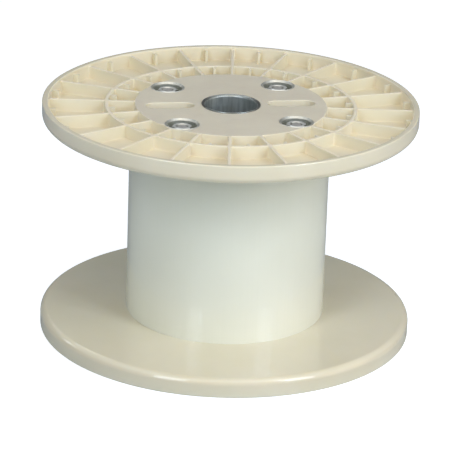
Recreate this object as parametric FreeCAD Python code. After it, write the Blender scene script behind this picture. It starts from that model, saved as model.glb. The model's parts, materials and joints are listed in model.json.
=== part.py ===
import FreeCAD, Part
import math
import os

# Plastic cable reel, standing on one end.  Millimetres.
# The origin is the centre of the ring that the lower rim stands on, and +Z is the reel's axis.

# ---- Overall sizes ----------------------------------------------------------------------------
flange_diameter = 400.0       # over the rim
flange_thickness = 20.0       # from the rim's outer edge to the cable side of the web
traverse = 213.0              # clear width for the cable, flange to flange
barrel_diameter = 214.0       # outside of the winding barrel
barrel_wall = 8.0

# ---- Flange moulding --------------------------------------------------------------------------
web_thickness = 4.0           # plate on the cable side
rim_wall = 6.5
rim_proud = 2.5               # the rim stands this far past the ribs, the ring and the hub
rim_round = 7.0               # rounding between the rim and the cable side
rim_lip_round = 1.2           # rounding of the rim's outer edges
rib_count = 20
rib_thickness = 3.0
ring_wall = 3.5               # the ring between the two rows of pockets
inner_pocket_length = 28.5    # from the hub's wall to the ring
pocket_corner = 2.0           # upright corners of the pockets
pocket_floor_round = 1.2      # round between a pocket's walls and its floor
rib_top_round = 0.5           # rounding of the pockets' mouths
gusset_length = 7.0           # short gussets at the middle of each pocket's outer wall
gusset_thickness = 3.0
gusset_drop = 1.0             # gusset tops lie this far below the rib tops
gusset_nose = 1.0             # rounding of a gusset's free corners

# ---- Hub --------------------------------------------------------------------------------------
hub_inset = 5.0               # the hub's wall stands this far inside the barrel's outside
hub_plate = 5.0               # thickness of the hub's flat face
spigot_height = 10.0          # the collar that centres the barrel
spigot_wall = 4.0
spigot_clearance = 0.3
boss_wall = 4.5               # plastic round the bush and round the drive slots
slot_length = 51.0            # drive slots, end to end
slot_width = 19.0
slot_to_bush = 8.0            # plastic between a slot and the bush
slot_mouth_round = 1.0        # rounding of the slots' edges on the hub's face

# ---- Arbor bush -------------------------------------------------------------------------------
bush_diameter = 63.0
bush_bore = 56.0
bush_length = 29.5
bush_proud = 1.0              # the bush stands this far out of the hub's face
bush_mouth_round = 2.5        # rounding of the bore's mouth
bush_edge_round = 0.8         # rounding of the mouth's outer corner
bush_end_chamfer = 1.0        # at the inner end
bush_stop = 3.0               # thickness and width of the lip that stops the bush
press_clearance = 0.1         # steel pieces in their plastic seats

# ---- Tie rods, nuts and cups ------------------------------------------------------------------
rod_count = 4
rod_diameter = 12.0
rod_inset = 14.0              # rod axis in from the barrel's bore
rod_hole_clearance = 0.5
rod_end_recess = 1.0          # rod ends lie this far inside the nuts
rod_chamfer = 1.2
nut_across_flats = 19.0
nut_height = 10.8
nut_recess = 2.0              # nut tops lie this far below the hub's face
nut_thread_clearance = 0.1
nut_chamfer_angle = 30.0
nut_countersink = 0.6         # at both ends of a nut's thread
cup_bore = 31.0
cup_sheet = 1.0
cup_flare = 2.0               # height and width of the flared mouth
cup_proud = 0.5               # the mouth stands this far out of the hub's face
cup_boss_wall = 2.0           # plastic round the cup's mouth
cup_boss_floor = 3.5          # plastic under the cup

# ---- Derived places ---------------------------------------------------------------------------
flange_radius = flange_diameter / 2
barrel_radius = barrel_diameter / 2
barrel_bore_radius = barrel_radius - barrel_wall
overall_height = 2 * flange_thickness + traverse
rim_inner_radius = flange_radius - rim_wall
hub_radius = barrel_radius - hub_inset
ring_inner_radius = hub_radius + inner_pocket_length
ring_outer_radius = ring_inner_radius + ring_wall
pocket_floor = flange_thickness - web_thickness
rib_pitch = 360.0 / rib_count
spigot_radius = barrel_bore_radius - spigot_clearance
hub_hollow_radius = spigot_radius - spigot_wall
bush_radius = bush_diameter / 2
bush_seat_end = rim_proud - bush_proud + bush_length
slot_centre_radius = bush_radius + slot_to_bush + slot_length / 2
rod_circle_radius = barrel_bore_radius - rod_inset
cup_floor_top = rim_proud + nut_recess + nut_height
cup_floor_bottom = cup_floor_top + cup_sheet
cup_radius = cup_bore / 2 + cup_sheet
cup_mouth_radius = cup_bore / 2 + cup_flare
cup_seat_radius = cup_radius + press_clearance
cup_boss_radius = cup_mouth_radius + cup_boss_wall
cup_boss_end = cup_floor_bottom + cup_boss_floor

UP = FreeCAD.Vector(0, 0, 1)
ORIGIN = FreeCAD.Vector(0, 0, 0)
JOIN = 1.0                    # how far a piece of the moulding runs into the next, before they fuse
TOUCH = 1e-6                  # places nearer than this are the same


def at(radius, angle, z=0.0):
    """The point at a radius and an angle in degrees about the reel's axis."""
    turn = math.radians(angle)
    return FreeCAD.Vector(radius * math.cos(turn), radius * math.sin(turn), z)


def disc(radius, low, high, centre=ORIGIN):
    """An upright cylinder between two heights."""
    base = FreeCAD.Vector(centre.x, centre.y, low)
    return Part.makeCylinder(radius, high - low, base, UP)


def tube(outer, inner, low, high, centre=ORIGIN):
    return disc(outer, low, high, centre).cut(disc(inner, low - JOIN, high + JOIN, centre))


def turned(profile):
    """Revolve a closed outline of (radius, height) points about the reel's axis."""
    points = [FreeCAD.Vector(radius, 0, height) for radius, height in profile]
    outline = Part.makePolygon(points + [points[0]])
    return Part.Face(outline).revolve(ORIGIN, UP, 360)


def spun(shape, count, first=0.0):
    """Copies of a shape, evenly spaced about the reel's axis."""
    copies = []
    for index in range(count):
        copy = shape.copy()
        copy.rotate(ORIGIN, UP, first + index * 360.0 / count)
        copies.append(copy)
    return copies


def rounded_upright_edges(shape, radius):
    upright = [edge for edge in shape.Edges
               if edge.BoundBox.ZLength > JOIN and edge.BoundBox.XLength < TOUCH
               and edge.BoundBox.YLength < TOUCH]
    return shape.makeFillet(radius, upright)


def flat_edges(shape, height):
    """The edges that lie wholly at a height."""
    return [edge for edge in shape.Edges
            if abs(edge.BoundBox.ZMin - height) < TOUCH and abs(edge.BoundBox.ZMax - height) < TOUCH]


def circles(shape, radius, height):
    """The round edges of a radius about the reel's axis at a height."""
    return [edge for edge in flat_edges(shape, height) if abs(edge.BoundBox.XMax - radius) < TOUCH]


def rounded_edges_at(shape, height, radius):
    return shape.makeFillet(radius, flat_edges(shape, height))


def rod_angles():
    """The rods stand on ribs, half way between the drive slots."""
    return [360.0 / rod_count * (index + 0.5) for index in range(rod_count)]


def flange_blank():
    """The moulding's outside before its pockets: a disc with a proud rim on its outer side."""
    face = Part.Face(Part.makePolygon([
        FreeCAD.Vector(0, 0, rim_proud), FreeCAD.Vector(rim_inner_radius, 0, rim_proud),
        FreeCAD.Vector(rim_inner_radius, 0, 0), FreeCAD.Vector(flange_radius, 0, 0),
        FreeCAD.Vector(flange_radius, 0, flange_thickness), FreeCAD.Vector(0, 0, flange_thickness),
        FreeCAD.Vector(0, 0, rim_proud)]))
    blank = face.revolve(ORIGIN, UP, 360)
    blank = rounded_edges_at(blank, flange_thickness, rim_round)
    return rounded_edges_at(blank, 0, rim_lip_round)


def pocket(inner_radius, outer_radius):
    """One pocket between two ribs, cut from the outer side, as the tool that makes it."""
    half_rib = rib_thickness / 2
    inner_turn = math.degrees(math.asin(half_rib / inner_radius))
    outer_turn = math.degrees(math.asin(half_rib / outer_radius))
    half_pitch = rib_pitch / 2
    inner_arc = Part.Arc(at(inner_radius, inner_turn - half_pitch), at(inner_radius, 0),
                         at(inner_radius, half_pitch - inner_turn)).toShape()
    outer_arc = Part.Arc(at(outer_radius, outer_turn - half_pitch), at(outer_radius, 0),
                         at(outer_radius, half_pitch - outer_turn)).toShape()
    first_side = Part.makeLine(at(inner_radius, inner_turn - half_pitch),
                               at(outer_radius, outer_turn - half_pitch))
    second_side = Part.makeLine(at(inner_radius, half_pitch - inner_turn),
                                at(outer_radius, half_pitch - outer_turn))
    outline = Part.Wire(Part.__sortEdges__([inner_arc, second_side, outer_arc, first_side]))
    tool = Part.Face(outline).extrude(UP * (pocket_floor + JOIN))
    tool.translate(UP * -JOIN)
    tool = rounded_upright_edges(tool, pocket_corner)
    return rounded_edges_at(tool, pocket_floor, pocket_floor_round)


def pocket_mouths(body):
    """The upper edges of the ribs, the ring and the hub, without the foot of the rim."""
    return [edge for edge in flat_edges(body, rim_proud)
            if edge.BoundBox.XLength < 2 * rim_inner_radius - JOIN]


def slot_mouths(body):
    """The edges of the two drive slots on the hub's face."""
    half_length, half_width = slot_length / 2 + TOUCH, slot_width / 2 + TOUCH
    return [edge for edge in flat_edges(body, rim_proud)
            if abs(abs(edge.BoundBox.Center.x) - slot_centre_radius) < half_length
            and edge.BoundBox.XLength < slot_length and edge.BoundBox.YMax < half_width
            and edge.BoundBox.YMin > -half_width]


def gusset(wall_radius):
    """A short upright gusset that stands on a pocket's outer wall and points to the axis."""
    low = rim_proud + gusset_drop
    length = gusset_length + JOIN
    block = Part.makeBox(length, gusset_thickness, pocket_floor + JOIN - low,
                         FreeCAD.Vector(wall_radius - gusset_length, -gusset_thickness / 2, low))
    nose = [edge for edge in block.Edges if edge.BoundBox.XMax < wall_radius - gusset_length + TOUCH
            and edge.BoundBox.ZLength > JOIN]
    return block.makeFillet(gusset_nose, nose)


def slot_shape(extra, low, high):
    """A round-ended slot along X at the drive slots' place, grown all round by extra."""
    half = slot_width / 2 + extra
    reach = (slot_length - slot_width) / 2
    middle = Part.makeBox(2 * reach, 2 * half, high - low,
                          FreeCAD.Vector(slot_centre_radius - reach, -half, low))
    ends = [disc(half, low, high, at(slot_centre_radius + side * reach, 0)) for side in (-1, 1)]
    return middle.multiFuse(ends).removeSplitter()


def hub_hollow():
    """The space in the hub behind its flat face, open to the inside of the barrel."""
    low = rim_proud + hub_plate
    hollow = disc(hub_hollow_radius, low, flange_thickness + JOIN)
    kept = [disc(bush_radius + boss_wall, low - JOIN, flange_thickness + 2 * JOIN)]
    kept += spun(slot_shape(boss_wall, low - JOIN, flange_thickness + 2 * JOIN), 2)
    for angle in rod_angles():
        centre = at(rod_circle_radius, angle)
        kept.append(disc(cup_boss_radius, low - JOIN, flange_thickness + 2 * JOIN, centre))
    return hollow.cut(kept)


def cup_seat(angle):
    """The well that takes a cup, its flared mouth and the hole for the tie rod."""
    centre = at(rod_circle_radius, angle)
    well = disc(cup_seat_radius, rim_proud - JOIN, cup_floor_bottom, centre)
    mouth_depth = cup_mouth_radius - cup_bore / 2 - cup_proud
    mouth_radius = cup_bore / 2 + mouth_depth + (cup_sheet + press_clearance) * math.sqrt(2)
    cone_depth = mouth_radius - cup_seat_radius
    mouth = Part.makeCone(mouth_radius + JOIN, cup_seat_radius, cone_depth + JOIN,
                          FreeCAD.Vector(centre.x, centre.y, rim_proud - JOIN), UP)
    hole = disc(rod_diameter / 2 + rod_hole_clearance, rim_proud, flange_thickness + spigot_height,
                centre)
    return [well, mouth, hole]


def flange():
    """One flange moulding as the lower flange lies: outer side down, cable side up."""
    inner_pocket = pocket(hub_radius, ring_inner_radius)
    outer_pocket = pocket(ring_outer_radius, rim_inner_radius)
    body = flange_blank().cut(spun(inner_pocket, rib_count) + spun(outer_pocket, rib_count))
    body = body.makeFillet(rib_top_round, pocket_mouths(body))
    added = spun(gusset(ring_inner_radius), rib_count) + spun(gusset(rim_inner_radius), rib_count)
    for angle in rod_angles():
        added.append(disc(cup_boss_radius, rim_proud, cup_boss_end, at(rod_circle_radius, angle)))
    body = body.multiFuse(added)
    body = body.cut([hub_hollow()])
    collar = tube(spigot_radius, hub_hollow_radius, flange_thickness - JOIN,
                  flange_thickness + spigot_height)
    bush_boss = disc(bush_radius + boss_wall, rim_proud, bush_seat_end + bush_stop)
    body = body.multiFuse([collar, bush_boss])
    cuts = [disc(bush_radius + press_clearance, -JOIN, bush_seat_end),
            disc(bush_radius - bush_stop, -JOIN, bush_seat_end + bush_stop + JOIN)]
    cuts += spun(slot_shape(0, -JOIN, flange_thickness + spigot_height), 2)
    for angle in rod_angles():
        cuts += cup_seat(angle)
    body = body.cut(cuts).removeSplitter()
    return body.makeFillet(slot_mouth_round, slot_mouths(body))


def barrel():
    return tube(barrel_radius, barrel_bore_radius, flange_thickness, flange_thickness + traverse)


def arbor_bush():
    """The lower bush, its rounded mouth facing down."""
    mouth = rim_proud - bush_proud
    bore = bush_bore / 2
    bush = tube(bush_radius, bore, mouth, bush_seat_end)
    bush = bush.makeFillet(bush_mouth_round, circles(bush, bore, mouth))
    bush = bush.makeFillet(bush_edge_round, circles(bush, bush_radius, mouth))
    return bush.makeChamfer(bush_end_chamfer, flat_edges(bush, bush_seat_end))


def bolt_cup():
    """A pressed sheet cup on the reel's axis, its flared mouth facing down."""
    bore = cup_bore / 2
    mouth = rim_proud - cup_proud
    throat = mouth + cup_flare
    lip = cup_sheet / math.sqrt(2)
    outer_throat = throat + cup_sheet * (math.sqrt(2) - 1)
    return turned([
        (bore, throat), (cup_mouth_radius, mouth), (cup_mouth_radius + lip, mouth + lip),
        (cup_radius, outer_throat), (cup_radius, cup_floor_bottom),
        (rod_diameter / 2 + rod_hole_clearance, cup_floor_bottom),
        (rod_diameter / 2 + rod_hole_clearance, cup_floor_top), (bore, cup_floor_top)])


def nut():
    """A hexagon nut on the reel's axis, lying on the lower cup's floor."""
    low = cup_floor_top - nut_height
    corner = nut_across_flats / math.sqrt(3)
    points = [at(corner, 60 * index, low) for index in range(6)]
    hexagon = Part.Face(Part.makePolygon(points + [points[0]])).extrude(UP * nut_height)
    flat = nut_across_flats / 2 * 0.97
    drop = (corner - flat) * math.tan(math.radians(nut_chamfer_angle))
    envelope = turned([(0, low), (flat, low), (corner, low + drop),
                       (corner, cup_floor_top - drop), (flat, cup_floor_top), (0, cup_floor_top)])
    thread = rod_diameter / 2 + nut_thread_clearance
    mouth = thread + nut_countersink
    hole = turned([(0, low), (mouth, low), (thread, low + nut_countersink),
                   (thread, cup_floor_top - nut_countersink), (mouth, cup_floor_top),
                   (0, cup_floor_top)])
    return hexagon.common(envelope).cut(hole)


def tie_rod():
    radius = rod_diameter / 2
    low = cup_floor_top - nut_height + rod_end_recess
    high = overall_height - low
    return turned([(0, low), (radius - rod_chamfer, low), (radius, low + rod_chamfer),
                   (radius, high - rod_chamfer), (radius - rod_chamfer, high), (0, high)])


def turned_over(shape):
    """The same piece at the other end of the reel."""
    copy = shape.copy()
    copy.rotate(FreeCAD.Vector(0, 0, overall_height / 2), FreeCAD.Vector(1, 0, 0), 180)
    return copy


def moved_to(shape, centre):
    copy = shape.copy()
    copy.translate(centre)
    return copy


def reel():
    lower_flange = flange()
    lower_bush = arbor_bush()
    nodes = {
        "flange_lower": lower_flange,
        "flange_upper": turned_over(lower_flange),
        "barrel_tube": barrel(),
        "arbor_bush_lower": lower_bush,
        "arbor_bush_upper": turned_over(lower_bush),
    }
    for number, angle in enumerate(rod_angles(), start=1):
        centre = at(rod_circle_radius, angle)
        nodes[f"tie_rod_{number}"] = moved_to(tie_rod(), centre)
        for name, piece in (("bolt_cup", bolt_cup()), ("nut", nut())):
            nodes[f"{name}_lower_{number}"] = moved_to(piece, centre)
            nodes[f"{name}_upper_{number}"] = moved_to(turned_over(piece), centre)
    return nodes


os.makedirs("parts", exist_ok=True)
for node, shape in reel().items():
    shape.exportStep(f"parts/{node}.step")
    print(node, shape.ShapeType, "solids", len(shape.Solids), "volume", round(shape.Volume / 1000, 1))
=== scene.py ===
import json
import math

import bmesh
import bpy
from mathutils import Matrix, Vector


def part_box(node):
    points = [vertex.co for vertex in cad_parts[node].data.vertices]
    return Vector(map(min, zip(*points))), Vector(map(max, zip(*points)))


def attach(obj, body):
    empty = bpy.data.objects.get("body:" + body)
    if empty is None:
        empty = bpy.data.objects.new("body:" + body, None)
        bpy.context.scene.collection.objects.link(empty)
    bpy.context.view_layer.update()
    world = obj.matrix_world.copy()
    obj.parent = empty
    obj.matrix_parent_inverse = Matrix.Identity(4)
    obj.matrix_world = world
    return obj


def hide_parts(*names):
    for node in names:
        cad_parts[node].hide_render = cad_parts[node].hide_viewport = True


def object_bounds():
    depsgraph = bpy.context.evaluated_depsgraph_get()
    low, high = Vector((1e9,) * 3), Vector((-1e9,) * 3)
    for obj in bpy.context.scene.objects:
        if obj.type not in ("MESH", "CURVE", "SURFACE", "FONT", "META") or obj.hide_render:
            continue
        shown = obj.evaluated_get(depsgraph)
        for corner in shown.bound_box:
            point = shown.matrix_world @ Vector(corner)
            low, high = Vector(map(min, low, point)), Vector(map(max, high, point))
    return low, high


# The looks of a plastic cable reel.  Metres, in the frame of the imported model: +Z is the reel's axis
# and the origin is the centre of the ring that the lower rim stands on.

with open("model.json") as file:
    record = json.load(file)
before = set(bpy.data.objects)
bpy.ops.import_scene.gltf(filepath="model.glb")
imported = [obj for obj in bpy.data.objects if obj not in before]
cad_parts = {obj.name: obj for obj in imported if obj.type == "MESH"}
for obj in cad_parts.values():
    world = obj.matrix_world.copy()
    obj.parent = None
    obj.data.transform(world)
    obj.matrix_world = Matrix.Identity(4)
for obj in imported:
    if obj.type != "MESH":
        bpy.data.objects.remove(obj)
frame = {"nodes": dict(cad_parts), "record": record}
cad_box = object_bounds()
nodes = frame["nodes"]
mounts = {mount["name"]: mount for mount in frame["record"]["mounts"]}

# ---- Sizes, read from the frame ---------------------------------------------------------------
MIDDLE = cad_box[1].z / 2
FLANGE_RADIUS = cad_box[1].x
BARREL_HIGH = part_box("barrel_tube")[1]
BARREL_RADIUS = BARREL_HIGH.x
BORE_RADIUS = mounts["arbor_bore_upper"]["dims"]["r_mm"] / 1000
HUB_FACE = mounts["drive_slots_upper"]["pos_m"][2] - MIDDLE       # from the reel's middle
ROD_LOW, ROD_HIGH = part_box("tie_rod_1")
ROD_RADIUS = (ROD_HIGH.x - ROD_LOW.x) / 2

# ---- Sizes of the finish ----------------------------------------------------------------------
HUB_EDGE_INSET = 0.005                           # the hub ends this far inside the barrel's outside
WEB_THICKNESS = 0.004
HUB_RADIUS = BARREL_RADIUS - HUB_EDGE_INSET
POCKET_FLOOR = BARREL_HIGH.z + WEB_THICKNESS - MIDDLE     # from the reel's middle
RIM_WALL = 0.0064
RIM_GLOSS = 0.006                                # the rim is polished as far in as this
THREAD_PITCH = 0.00175
THREAD_DEPTH = 0.00095
THREAD_LENGTH = 0.034
THREAD_CHAMFER = 0.0012
THREAD_STEPS_ROUND = 24
THREAD_STEPS_PITCH = 8

WHITE = (1.0, 1.0, 1.0, 1.0)

# ---- Camera: where the reel is seen from -------------------------------------------------------
VIEW_AZIMUTH = -9.0
VIEW_ELEVATION = 20.92
VIEW_ROLL = 1.94
VIEW_DISTANCE = 3.034
VIEW_LENS = 225.6
AIM_RIGHT = -0.00255                             # the camera aims this far from the reel's middle
AIM_UP = -0.01241

# ---- Light levels ------------------------------------------------------------------------------
WALL_GLARE = 0.18                                # brightness of the room in reflections
CEILING_GLARE = 0.85
WALL_TOP = 0.45                                  # sine of the elevation where the walls end
CEILING = 0.8                                    # and of the one where the ceiling is in full
FLOOR_SIZE = 30.0
FLOOR_LIFT = 0.8                                 # makes the floor white to the camera
PLAIN = (1.0, 1.0, 1.0)
COOL = (0.76, 0.86, 1.0)
WARM = (1.0, 0.83, 0.63)
# name, azimuth, elevation, distance, width and height, watts, colour
LAMPS = [
    ("left_window", -42.0, 30.0, 2.4, (0.7, 1.3), 22.0, COOL),
    ("right_window", 39.0, 30.0, 2.4, (0.75, 1.4), 30.5, COOL),
    ("back_left_window", -124.0, 28.0, 2.4, (0.36, 0.36), 2.6, PLAIN),
    ("high_front", -5.0, 60.0, 2.4, (3.0, 2.0), 17.2, WARM),
    ("high_back", 180.0, 60.0, 2.4, (1.6, 1.2), 10.2, COOL),
    ("front", 0.0, 38.0, 2.4, (2.2, 1.4), 4.6, WARM),
    ("low_right", 70.0, 12.0, 2.4, (1.4, 0.8), 9.2, WARM),
    ("low_left", -40.0, 12.0, 2.4, (1.2, 0.8), 1.4, PLAIN),
]


def srgb(red, green, blue):
    """An 8-bit sRGB colour as the linear one that a shader takes."""
    def linear(value):
        value /= 255
        return value / 12.92 if value <= 0.04045 else ((value + 0.055) / 1.055) ** 2.4
    return (linear(red), linear(green), linear(blue), 1.0)


class Finish:
    """A procedural material, with short names for the nodes that it is built from."""

    def __init__(self, name):
        self.material = bpy.data.materials.new(name)
        self.material.use_nodes = True
        self.tree = self.material.node_tree
        self.shader = self.tree.nodes["Principled BSDF"]
        self.place = self.tree.nodes.new("ShaderNodeTexCoord").outputs["Object"]

    def put(self, socket, value):
        if isinstance(value, bpy.types.NodeSocket):
            self.tree.links.new(value, socket)
        else:
            socket.default_value = value

    def node(self, kind, *values, **settings):
        made = self.tree.nodes.new(kind)
        for name, setting in settings.items():
            setattr(made, name, setting)
        for socket, value in zip(made.inputs, values):
            self.put(socket, value)
        return made

    def math(self, operation, first, second=0.0):
        return self.node("ShaderNodeMath", first, second, operation=operation).outputs[0]

    def vector(self, operation, first, second=(0.0, 0.0, 0.0)):
        return self.node("ShaderNodeVectorMath", first, second, operation=operation).outputs["Vector"]

    def length(self, vector):
        return self.node("ShaderNodeVectorMath", vector, operation="LENGTH").outputs["Value"]

    def split(self, vector):
        return self.node("ShaderNodeSeparateXYZ", vector).outputs

    def join(self, x, y, z):
        return self.node("ShaderNodeCombineXYZ", x, y, z).outputs[0]

    def noise(self, scale, detail=3.0, roughness=0.5, vector=None):
        made = self.node("ShaderNodeTexNoise")
        self.put(made.inputs["Vector"], self.place if vector is None else vector)
        self.put(made.inputs["Scale"], scale)
        self.put(made.inputs["Detail"], detail)
        self.put(made.inputs["Roughness"], roughness)
        return made.outputs["Fac"]

    def scale(self, value, low, high, to_low=0.0, to_high=1.0):
        """Takes the range low to high of a value to to_low to to_high, and holds it there outside."""
        made = self.node("ShaderNodeMapRange", value, low, high, to_low, to_high)
        return made.outputs["Result"]

    def mix(self, factor, first, second):
        """A colour between two, first where the factor is 0 and second where it is 1."""
        made = self.node("ShaderNodeMix", factor, data_type="RGBA")
        self.put(made.inputs[6], first)
        self.put(made.inputs[7], second)
        return made.outputs[2]

    def blend(self, factor, first, second):
        """A number between two, first where the factor is 0 and second where it is 1."""
        made = self.node("ShaderNodeMix", factor, data_type="FLOAT")
        self.put(made.inputs[2], first)
        self.put(made.inputs[3], second)
        return made.outputs[0]

    def bump(self, height, distance, under=None):
        made = self.node("ShaderNodeBump")
        self.put(made.inputs["Height"], height)
        self.put(made.inputs["Distance"], distance)
        if under is not None:
            self.put(made.inputs["Normal"], under)
        return made.outputs["Normal"]

    def radius(self):
        """Distance from the reel's axis."""
        x, y, _ = self.split(self.place)
        return self.length(self.join(x, y, 0.0))

    def from_middle(self):
        """Height above or below the reel's middle, the same at both ends."""
        return self.math("ABSOLUTE", self.math("SUBTRACT", self.split(self.place)[2], MIDDLE))

    def surface(self, **sockets):
        for name, value in sockets.items():
            self.put(self.shader.inputs[name.replace("_", " ")], value)
        return self.material


def flange_finish():
    """Ivory moulded plastic: glossy on the cable side and rim, textured and greyer on the hub's face."""
    f = Finish("ivory_plastic")
    radius = f.radius()
    height = f.from_middle()
    clouds = f.noise(9.0, 4.0)
    colour = f.mix(f.scale(clouds, 0.35, 0.65), srgb(230, 223, 198), srgb(235, 228, 206))
    # Painted shade: the pockets are painted darker and warmer towards their floors, where shade and warm
    # bounced light fall.
    depth = f.scale(height, HUB_FACE, POCKET_FLOOR)
    above_floor = f.scale(height, POCKET_FLOOR - 0.0015, POCKET_FLOOR - 0.0005)
    painted_pocket_shade = f.math("MULTIPLY", depth, above_floor)
    colour = f.mix(f.math("MULTIPLY", painted_pocket_shade, 0.45), colour, srgb(229, 217, 189))
    tops = f.scale(height, HUB_FACE - 0.0005, HUB_FACE - 0.0002)
    on_hub = f.math("MULTIPLY", f.scale(radius, HUB_RADIUS, HUB_RADIUS - 0.0006), tops)
    # Painted light: the tops of the ribs and rings inside the rim are painted lighter and warmer, for
    # light falling on faces turned up.
    inside_rim = f.scale(radius, FLANGE_RADIUS - RIM_WALL, FLANGE_RADIUS - RIM_WALL - 0.0004)
    colour = f.mix(f.math("MULTIPLY", inside_rim, tops), colour, srgb(243, 233, 209))
    patches = f.scale(f.noise(26.0, 5.0, 0.6), 0.35, 0.65)
    hub_colour = f.mix(patches, srgb(218, 210, 190), srgb(225, 218, 197))
    colour = f.mix(on_hub, colour, hub_colour)
    specks = f.scale(f.noise(1100.0, 2.0), 0.68, 0.76)
    colour = f.mix(f.math("MULTIPLY", specks, 0.12), colour, srgb(170, 158, 130))
    cable_side = f.scale(height, POCKET_FLOOR - 0.001, POCKET_FLOOR - 0.003)
    rim = f.scale(radius, FLANGE_RADIUS - RIM_GLOSS, FLANGE_RADIUS - RIM_GLOSS + 0.001)
    smears = f.scale(f.noise(34.0, 6.0, 0.65), 0.4, 0.7)
    rough = f.blend(f.math("MAXIMUM", cable_side, rim), f.scale(smears, 0.0, 1.0, 0.48, 0.58),
                    f.scale(smears, 0.0, 1.0, 0.03, 0.07))
    peel = f.bump(f.noise(90.0, 2.0), 0.00005)
    grain_depth = f.scale(on_hub, 0.0, 1.0, 0.03, 1.0)
    grain = f.bump(f.math("MULTIPLY", f.noise(3200.0, 2.0), grain_depth), 0.00006, peel)
    return f.surface(Base_Color=colour, Roughness=rough, IOR=1.52, Normal=grain,
                     Subsurface_Weight=0.35, Subsurface_Radius=(1.0, 0.85, 0.6), Subsurface_Scale=0.006)


def barrel_finish():
    """White extruded tube: satin, with faint lines drawn along its length."""
    f = Finish("white_tube_plastic")
    x, y, z = f.split(f.place)
    along = f.join(x, y, f.math("MULTIPLY", z, 0.02))
    lines = f.noise(520.0, 3.0, 0.55, along)
    broad = f.noise(60.0, 3.0, 0.5, along)
    clouds = f.noise(7.0, 3.0)
    colour = f.mix(f.scale(clouds, 0.35, 0.65), srgb(235, 235, 217), srgb(240, 240, 224))
    colour = f.mix(f.scale(lines, 0.45, 0.75, 0.0, 0.12), colour, srgb(228, 228, 208))
    rough = f.math("ADD", f.scale(broad, 0.3, 0.7, 0.05, 0.08), f.scale(lines, 0.3, 0.7, 0.0, 0.02))
    normal = f.bump(lines, 0.00001, f.bump(broad, 0.00003))
    return f.surface(Base_Color=colour, Roughness=rough, IOR=1.5, Normal=normal,
                     Subsurface_Weight=0.1, Subsurface_Radius=(1.0, 0.9, 0.7), Subsurface_Scale=0.004)


def bush_finish():
    """The arbor bushes: bright at the turned mouth, and dull with drawn streaks inside the bore, whose
    wall is painted lighter for light reflected into it.
    """
    f = Finish("bush_steel")
    x, y, z = f.split(f.place)
    radius = f.radius()
    around = f.vector("NORMALIZE", f.join(x, y, 0.0))
    inside = f.scale(radius, BORE_RADIUS + 0.0008, BORE_RADIUS + 0.0001)
    turns = f.noise(1.0, 3.0, 0.6, f.vector("ADD", around, f.join(
        f.math("MULTIPLY", radius, 2600.0), 0.0, f.math("MULTIPLY", z, 2600.0))))
    streaks = f.noise(9.0, 4.0, 0.6, f.vector("ADD", around, f.join(0.0, 0.0, f.math("MULTIPLY", z, 3.0))))
    stains = f.noise(70.0, 5.0, 0.6)
    mouth = f.mix(f.scale(stains, 0.35, 0.7), srgb(144, 148, 145), srgb(124, 129, 127))
    # Painted light: the bore's wall is painted lighter than the mouth, for light reflected into the bore;
    # the drawn streaks lie on top.
    drawn_streaks_and_painted_light = f.mix(f.scale(streaks, 0.4, 0.62), srgb(150, 157, 156), srgb(174, 181, 180))
    colour = f.mix(inside, mouth, drawn_streaks_and_painted_light)
    rough = f.blend(inside, f.scale(turns, 0.3, 0.7, 0.18, 0.26), f.scale(stains, 0.3, 0.7, 0.5, 0.62))
    normal = f.bump(turns, 0.00003, f.bump(streaks, 0.00025))
    return f.surface(Base_Color=colour, Metallic=1.0, Roughness=rough, Normal=normal)


def plated_finish(name, light, dark, roughness):
    """Zinc plate: even, slightly cloudy, with fine scratches."""
    f = Finish(name)
    clouds = f.noise(240.0, 4.0, 0.6)
    fine = f.noise(2600.0, 3.0, 0.6)
    colour = f.mix(f.scale(clouds, 0.35, 0.65), light, dark)
    rough = f.scale(clouds, 0.3, 0.7, roughness, roughness + 0.12)
    return f.surface(Base_Color=colour, Metallic=1.0, Roughness=rough, Normal=f.bump(fine, 0.00003))


def threaded_rod(number, x, y):
    """A tie rod with a rolled thread at each end, in the place of the plain one."""
    low, high = ROD_LOW.z, ROD_HIGH.z
    step = THREAD_PITCH / THREAD_STEPS_PITCH
    count = round(THREAD_LENGTH / step)
    heights = [low + step * index for index in range(count)]
    heights += [high - step * index for index in range(count - 1, -1, -1)]
    mesh = bmesh.new()
    rings = []
    for height in heights:
        from_end = min(height - low, high - height)
        ring = []
        for index in range(THREAD_STEPS_ROUND):
            turn = index / THREAD_STEPS_ROUND
            wave = abs((height / THREAD_PITCH - turn) % 1.0 - 0.5) * 2
            fade = min(1.0, max(0.0, (THREAD_LENGTH - from_end) / THREAD_PITCH - 1.0))
            chamfer = max(0.0, THREAD_CHAMFER - from_end)
            radius = ROD_RADIUS - max(THREAD_DEPTH * wave * fade, chamfer)
            angle = 2 * math.pi * turn
            place = (x + radius * math.cos(angle), y + radius * math.sin(angle), height)
            ring.append(mesh.verts.new(place))
        rings.append(ring)
    for lower, upper in zip(rings, rings[1:]):
        for index in range(THREAD_STEPS_ROUND):
            after = (index + 1) % THREAD_STEPS_ROUND
            mesh.faces.new((lower[index], lower[after], upper[after], upper[index]))
    mesh.faces.new(list(reversed(rings[0])))
    mesh.faces.new(rings[-1])
    data = bpy.data.meshes.new(f"threaded_rod_{number}")
    mesh.to_mesh(data)
    mesh.free()
    piece = bpy.data.objects.new(f"threaded_rod_{number}", data)
    bpy.context.scene.collection.objects.link(piece)
    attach(piece, "root")
    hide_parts(f"tie_rod_{number}")
    return piece


def dress(names, material):
    """Gives CAD nodes their finish."""
    for name in names:
        data = nodes[name].data
        data.materials.clear()
        data.materials.append(material)


def both_ends(name, numbers=None):
    """The names of a piece's nodes at the lower and upper end, numbered or not."""
    ends = [f"{name}_{end}" for end in ("lower", "upper")]
    if numbers is None:
        return ends
    return [f"{end}_{number}" for end in ends for number in numbers]


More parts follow.
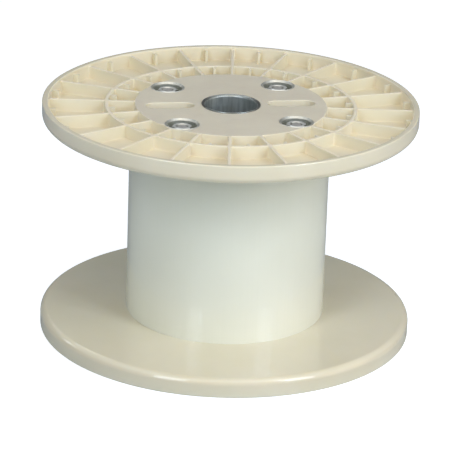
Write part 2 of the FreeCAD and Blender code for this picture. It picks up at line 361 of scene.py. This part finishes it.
def floor_finish():
    """Pale floor: it keeps the reel's shadow, and is white to the camera."""
    f = Finish("white_floor")
    seen = f.node("ShaderNodeLightPath").outputs["Is Camera Ray"]
    return f.surface(Base_Color=srgb(188, 196, 202), Roughness=0.9, Emission_Color=WHITE,
                     Emission_Strength=f.math("MULTIPLY", seen, FLOOR_LIFT))


def room():
    """A world that is white to the camera, and in reflections a dim room with a bright ceiling."""
    world = bpy.data.worlds.new("studio")
    bpy.context.scene.world = world
    world.use_nodes = True
    tree = world.node_tree
    background = tree.nodes["Background"]
    background.inputs["Color"].default_value = WHITE
    rays = tree.nodes.new("ShaderNodeLightPath").outputs
    way = tree.nodes.new("ShaderNodeTexCoord").outputs["Generated"]
    parts = tree.nodes.new("ShaderNodeSeparateXYZ")
    tree.links.new(way, parts.inputs[0])
    walls = tree.nodes.new("ShaderNodeMapRange")
    tree.links.new(parts.outputs["Z"], walls.inputs["Value"])
    for name, value in (("From Min", WALL_TOP), ("From Max", CEILING),
                        ("To Min", WALL_GLARE), ("To Max", CEILING_GLARE)):
        walls.inputs[name].default_value = value
    glare = tree.nodes.new("ShaderNodeMath")
    glare.operation = "MULTIPLY_ADD"
    tree.links.new(rays["Is Glossy Ray"], glare.inputs[0])
    tree.links.new(walls.outputs["Result"], glare.inputs[1])
    tree.links.new(rays["Is Camera Ray"], glare.inputs[2])
    tree.links.new(glare.outputs[0], background.inputs["Strength"])


def studio():
    """The floor, the room and the soft boxes."""
    bpy.ops.mesh.primitive_plane_add(size=FLOOR_SIZE)
    floor = bpy.context.object
    floor.name = "floor"
    floor.data.materials.append(floor_finish())
    room()
    for lamp_settings in LAMPS:
        lamp(*lamp_settings)


def lamp(name, azimuth, elevation, distance, size, power, colour):
    """A soft box, width by height, that looks at the reel's middle from an azimuth and elevation."""
    turn, rise = math.radians(azimuth), math.radians(elevation)
    away = Vector((math.sin(turn) * math.cos(rise), -math.cos(turn) * math.cos(rise), math.sin(rise)))
    data = bpy.data.lights.new(name, "AREA")
    data.shape = "RECTANGLE"
    data.size, data.size_y = size
    data.energy = power
    data.color = colour
    box = bpy.data.objects.new(name, data)
    box.location = Vector((0, 0, MIDDLE)) + away * distance
    box.rotation_mode = "QUATERNION"
    box.rotation_quaternion = away.to_track_quat("Z", "Y")
    bpy.context.scene.collection.objects.link(box)


def camera():
    """A long lens, from a little to the left and above, slightly rolled."""
    turn, rise, roll = (math.radians(a) for a in (VIEW_AZIMUTH, VIEW_ELEVATION, VIEW_ROLL))
    back = Vector((math.sin(turn) * math.cos(rise), -math.cos(turn) * math.cos(rise), math.sin(rise)))
    right = Vector((math.cos(turn), math.sin(turn), 0))
    up = back.cross(right)
    image_right = right * math.cos(roll) + up * math.sin(roll)
    image_up = up * math.cos(roll) - right * math.sin(roll)
    middle = Vector((0, 0, MIDDLE))
    place = middle + back * VIEW_DISTANCE
    axis = (place - middle - image_right * AIM_RIGHT - image_up * AIM_UP).normalized()
    side = image_up.cross(axis).normalized()
    data = bpy.data.cameras.new("camera")
    data.lens = VIEW_LENS
    seer = bpy.data.objects.new("camera", data)
    turned = Matrix((side, axis.cross(side), axis)).transposed().to_4x4()
    seer.matrix_world = Matrix.Translation(place) @ turned
    bpy.context.scene.collection.objects.link(seer)
    bpy.context.scene.camera = seer


camera()
studio()
dress(both_ends("flange"), flange_finish())
dress(["barrel_tube"], barrel_finish())
dress(both_ends("arbor_bush"), bush_finish())
numbers = range(1, 5)
plated_cup = plated_finish("plated_cup", srgb(207, 208, 200), srgb(187, 190, 184), 0.4)
plated_nut = plated_finish("plated_nut", srgb(219, 220, 215), srgb(198, 200, 196), 0.32)
plated_rod = plated_finish("plated_rod", srgb(182, 179, 174), srgb(156, 153, 149), 0.42)
dress(both_ends("bolt_cup", numbers), plated_cup)
dress(both_ends("nut", numbers), plated_nut)
for number in numbers:
    low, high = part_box(f"tie_rod_{number}")
    rod = threaded_rod(number, (low.x + high.x) / 2, (low.y + high.y) / 2)
    rod.data.materials.append(plated_rod)

bpy.context.scene.view_settings.view_transform = "Standard"
